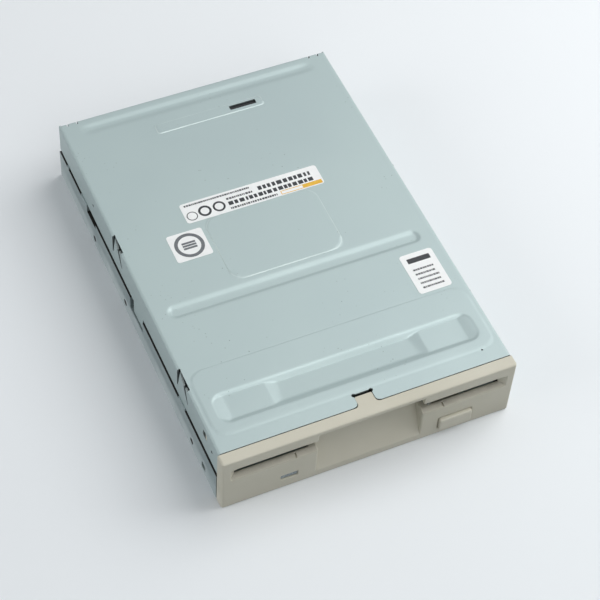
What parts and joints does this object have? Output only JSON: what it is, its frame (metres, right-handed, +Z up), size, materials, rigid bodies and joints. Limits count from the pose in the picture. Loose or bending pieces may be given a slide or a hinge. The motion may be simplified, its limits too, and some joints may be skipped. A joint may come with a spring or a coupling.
{
  "type": "floppy disk drive",
  "caption": "Flat 3.5-inch floppy disk drive: pale pressed-steel case with ribbed lid, beige bezel with a wide disk slot, finger recess, eject button and lamp.",
  "frame": {"origin": "on the floor, under the middle of the drive's outer box", "axes": "+Y to the rear along the depth, +X to the right seen from the bezel, +Z up"},
  "size_m": [0.1016, 0.1512, 0.0254],
  "materials": {
    "cover_steel": "pale blue-green zinc-plated sheet steel, semi-gloss",
    "chassis_steel": "pale zinc-plated sheet steel",
    "mech_steel": "bright pressed steel",
    "pin_steel": "dark turned steel",
    "bezel_plastic": "warm beige moulded plastic, fine grain",
    "lamp_plastic": "grey translucent lens plastic",
    "black_plastic": "black moulded plastic",
    "white_plastic": "off-white moulded plastic",
    "board_laminate": "green solder-masked board",
    "brass": "turned or plated brass",
    "copper_winding": null,
    "magnet_ferrite": "dark bonded magnet",
    "amber_film": "amber flexible film"
  },
  "bodies": {
    "case": {"top_cover": "cover_steel", "chassis": "chassis_steel", "bezel": "bezel_plastic", "led_lamp": "lamp_plastic", "eject_springs": "mech_steel", "bearing_housing": "brass", "stator_core": "pin_steel", "stator_coils": "copper_winding", "motor_board": "board_laminate", "motor_screws": "pin_steel", "driver_chip": "black_plastic", "index_sensor": "black_plastic", "guide_rods": "mech_steel", "rod_clamps": "pin_steel", "stepper_bracket": "mech_steel", "stepper_motor": "pin_steel", "stepper_screws": "pin_steel", "screw_bearing": "white_plastic", "track_sensor": "black_plastic", "switch_bodies": "black_plastic", "main_board": "board_laminate", "board_screws": "pin_steel", "controller_chip": "black_plastic", "board_parts": "amber_film", "data_header": "black_plastic", "data_pins": "brass", "power_socket": "white_plastic", "power_pins": "brass", "head_ribbon": "amber_film", "motor_ribbon": "amber_film"},
    "slide": {"slide_plate": "mech_steel", "eject_button": "bezel_plastic"},
    "holder": {"disk_holder": "mech_steel", "holder_pins": "pin_steel", "lever_post": "pin_steel"},
    "lever": {"trigger_lever": "white_plastic", "trigger_spring": "mech_steel"},
    "spindle": {"spindle_shaft": "mech_steel", "spindle_hub": "brass", "drive_pin": "mech_steel", "hub_magnet": "magnet_ferrite", "rotor_cup": "mech_steel", "rotor_magnet": "magnet_ferrite"},
    "carriage": {"head_carriage": "black_plastic", "lower_head": "white_plastic", "screw_follower": "white_plastic", "arm_pin": "mech_steel"},
    "arm": {"upper_arm": "black_plastic", "upper_head": "white_plastic", "arm_spring": "mech_steel"},
    "screw": {"lead_screw": "brass"},
    "write_switch": {"write_plunger": "white_plastic"},
    "density_switch": {"density_plunger": "white_plastic"},
    "disk_switch": {"disk_plunger": "white_plastic"}
  },
  "joints": [
    {"name": "eject_slide", "type": "slide", "parent": "case", "child": "slide", "axis": [0, 1, 0], "range_m": [-0.005, 0], "deforming": ["eject_springs"]},
    {"name": "holder_lift", "type": "slide", "parent": "case", "child": "holder", "axis": [0, 0, 1], "range_m": [-0.003, 0]},
    {"name": "trigger_turn", "type": "hinge", "parent": "holder", "child": "lever", "pos_m": [-0.036, 0.0176, 0.0217], "axis": [0, 0, 1], "range_deg": [0, 29], "stiffness_Nm_per_rad": 0.002, "springref_deg": -17.19},
    {"name": "spindle_spin", "type": "hinge", "parent": "case", "child": "spindle", "pos_m": [0, -0.0234, 0.006], "axis": [0, 0, 1], "continuous": true},
    {"name": "carriage_slide", "type": "slide", "parent": "case", "child": "carriage", "axis": [0, 1, 0], "range_m": [-0.0148, 0], "deforming": ["head_ribbon"]},
    {"name": "screw_turn", "type": "hinge", "parent": "case", "child": "screw", "pos_m": [0.016, 0.0296, 0.011], "axis": [0, 1, 0], "range_deg": [-1425, 0]},
    {"name": "arm_lower", "type": "hinge", "parent": "carriage", "child": "arm", "pos_m": [0, 0.0416, 0.017], "axis": [1, 0, 0], "range_deg": [0, 10.2]},
    {"name": "write_press", "type": "slide", "parent": "case", "child": "write_switch", "axis": [0, 0, 1], "range_m": [-0.0015, 0], "stiffness_N_per_m": 60, "springref_m": 0.0005},
    {"name": "density_press", "type": "slide", "parent": "case", "child": "density_switch", "axis": [0, 0, 1], "range_m": [-0.0015, 0], "stiffness_N_per_m": 60, "springref_m": 0.0005},
    {"name": "disk_press", "type": "slide", "parent": "case", "child": "disk_switch", "axis": [0, 0, 1], "range_m": [-0.0015, 0], "stiffness_N_per_m": 60, "springref_m": 0.0005}
  ],
  "couplings": [
    {"joint": "holder_lift", "follows": "eject_slide", "ratio": 0.6},
    {"joint": "arm_lower", "follows": "eject_slide", "rad_per_m": -35.535},
    {"joint": "screw_turn", "follows": "carriage_slide", "rad_per_m": 1675.5}
  ]
}
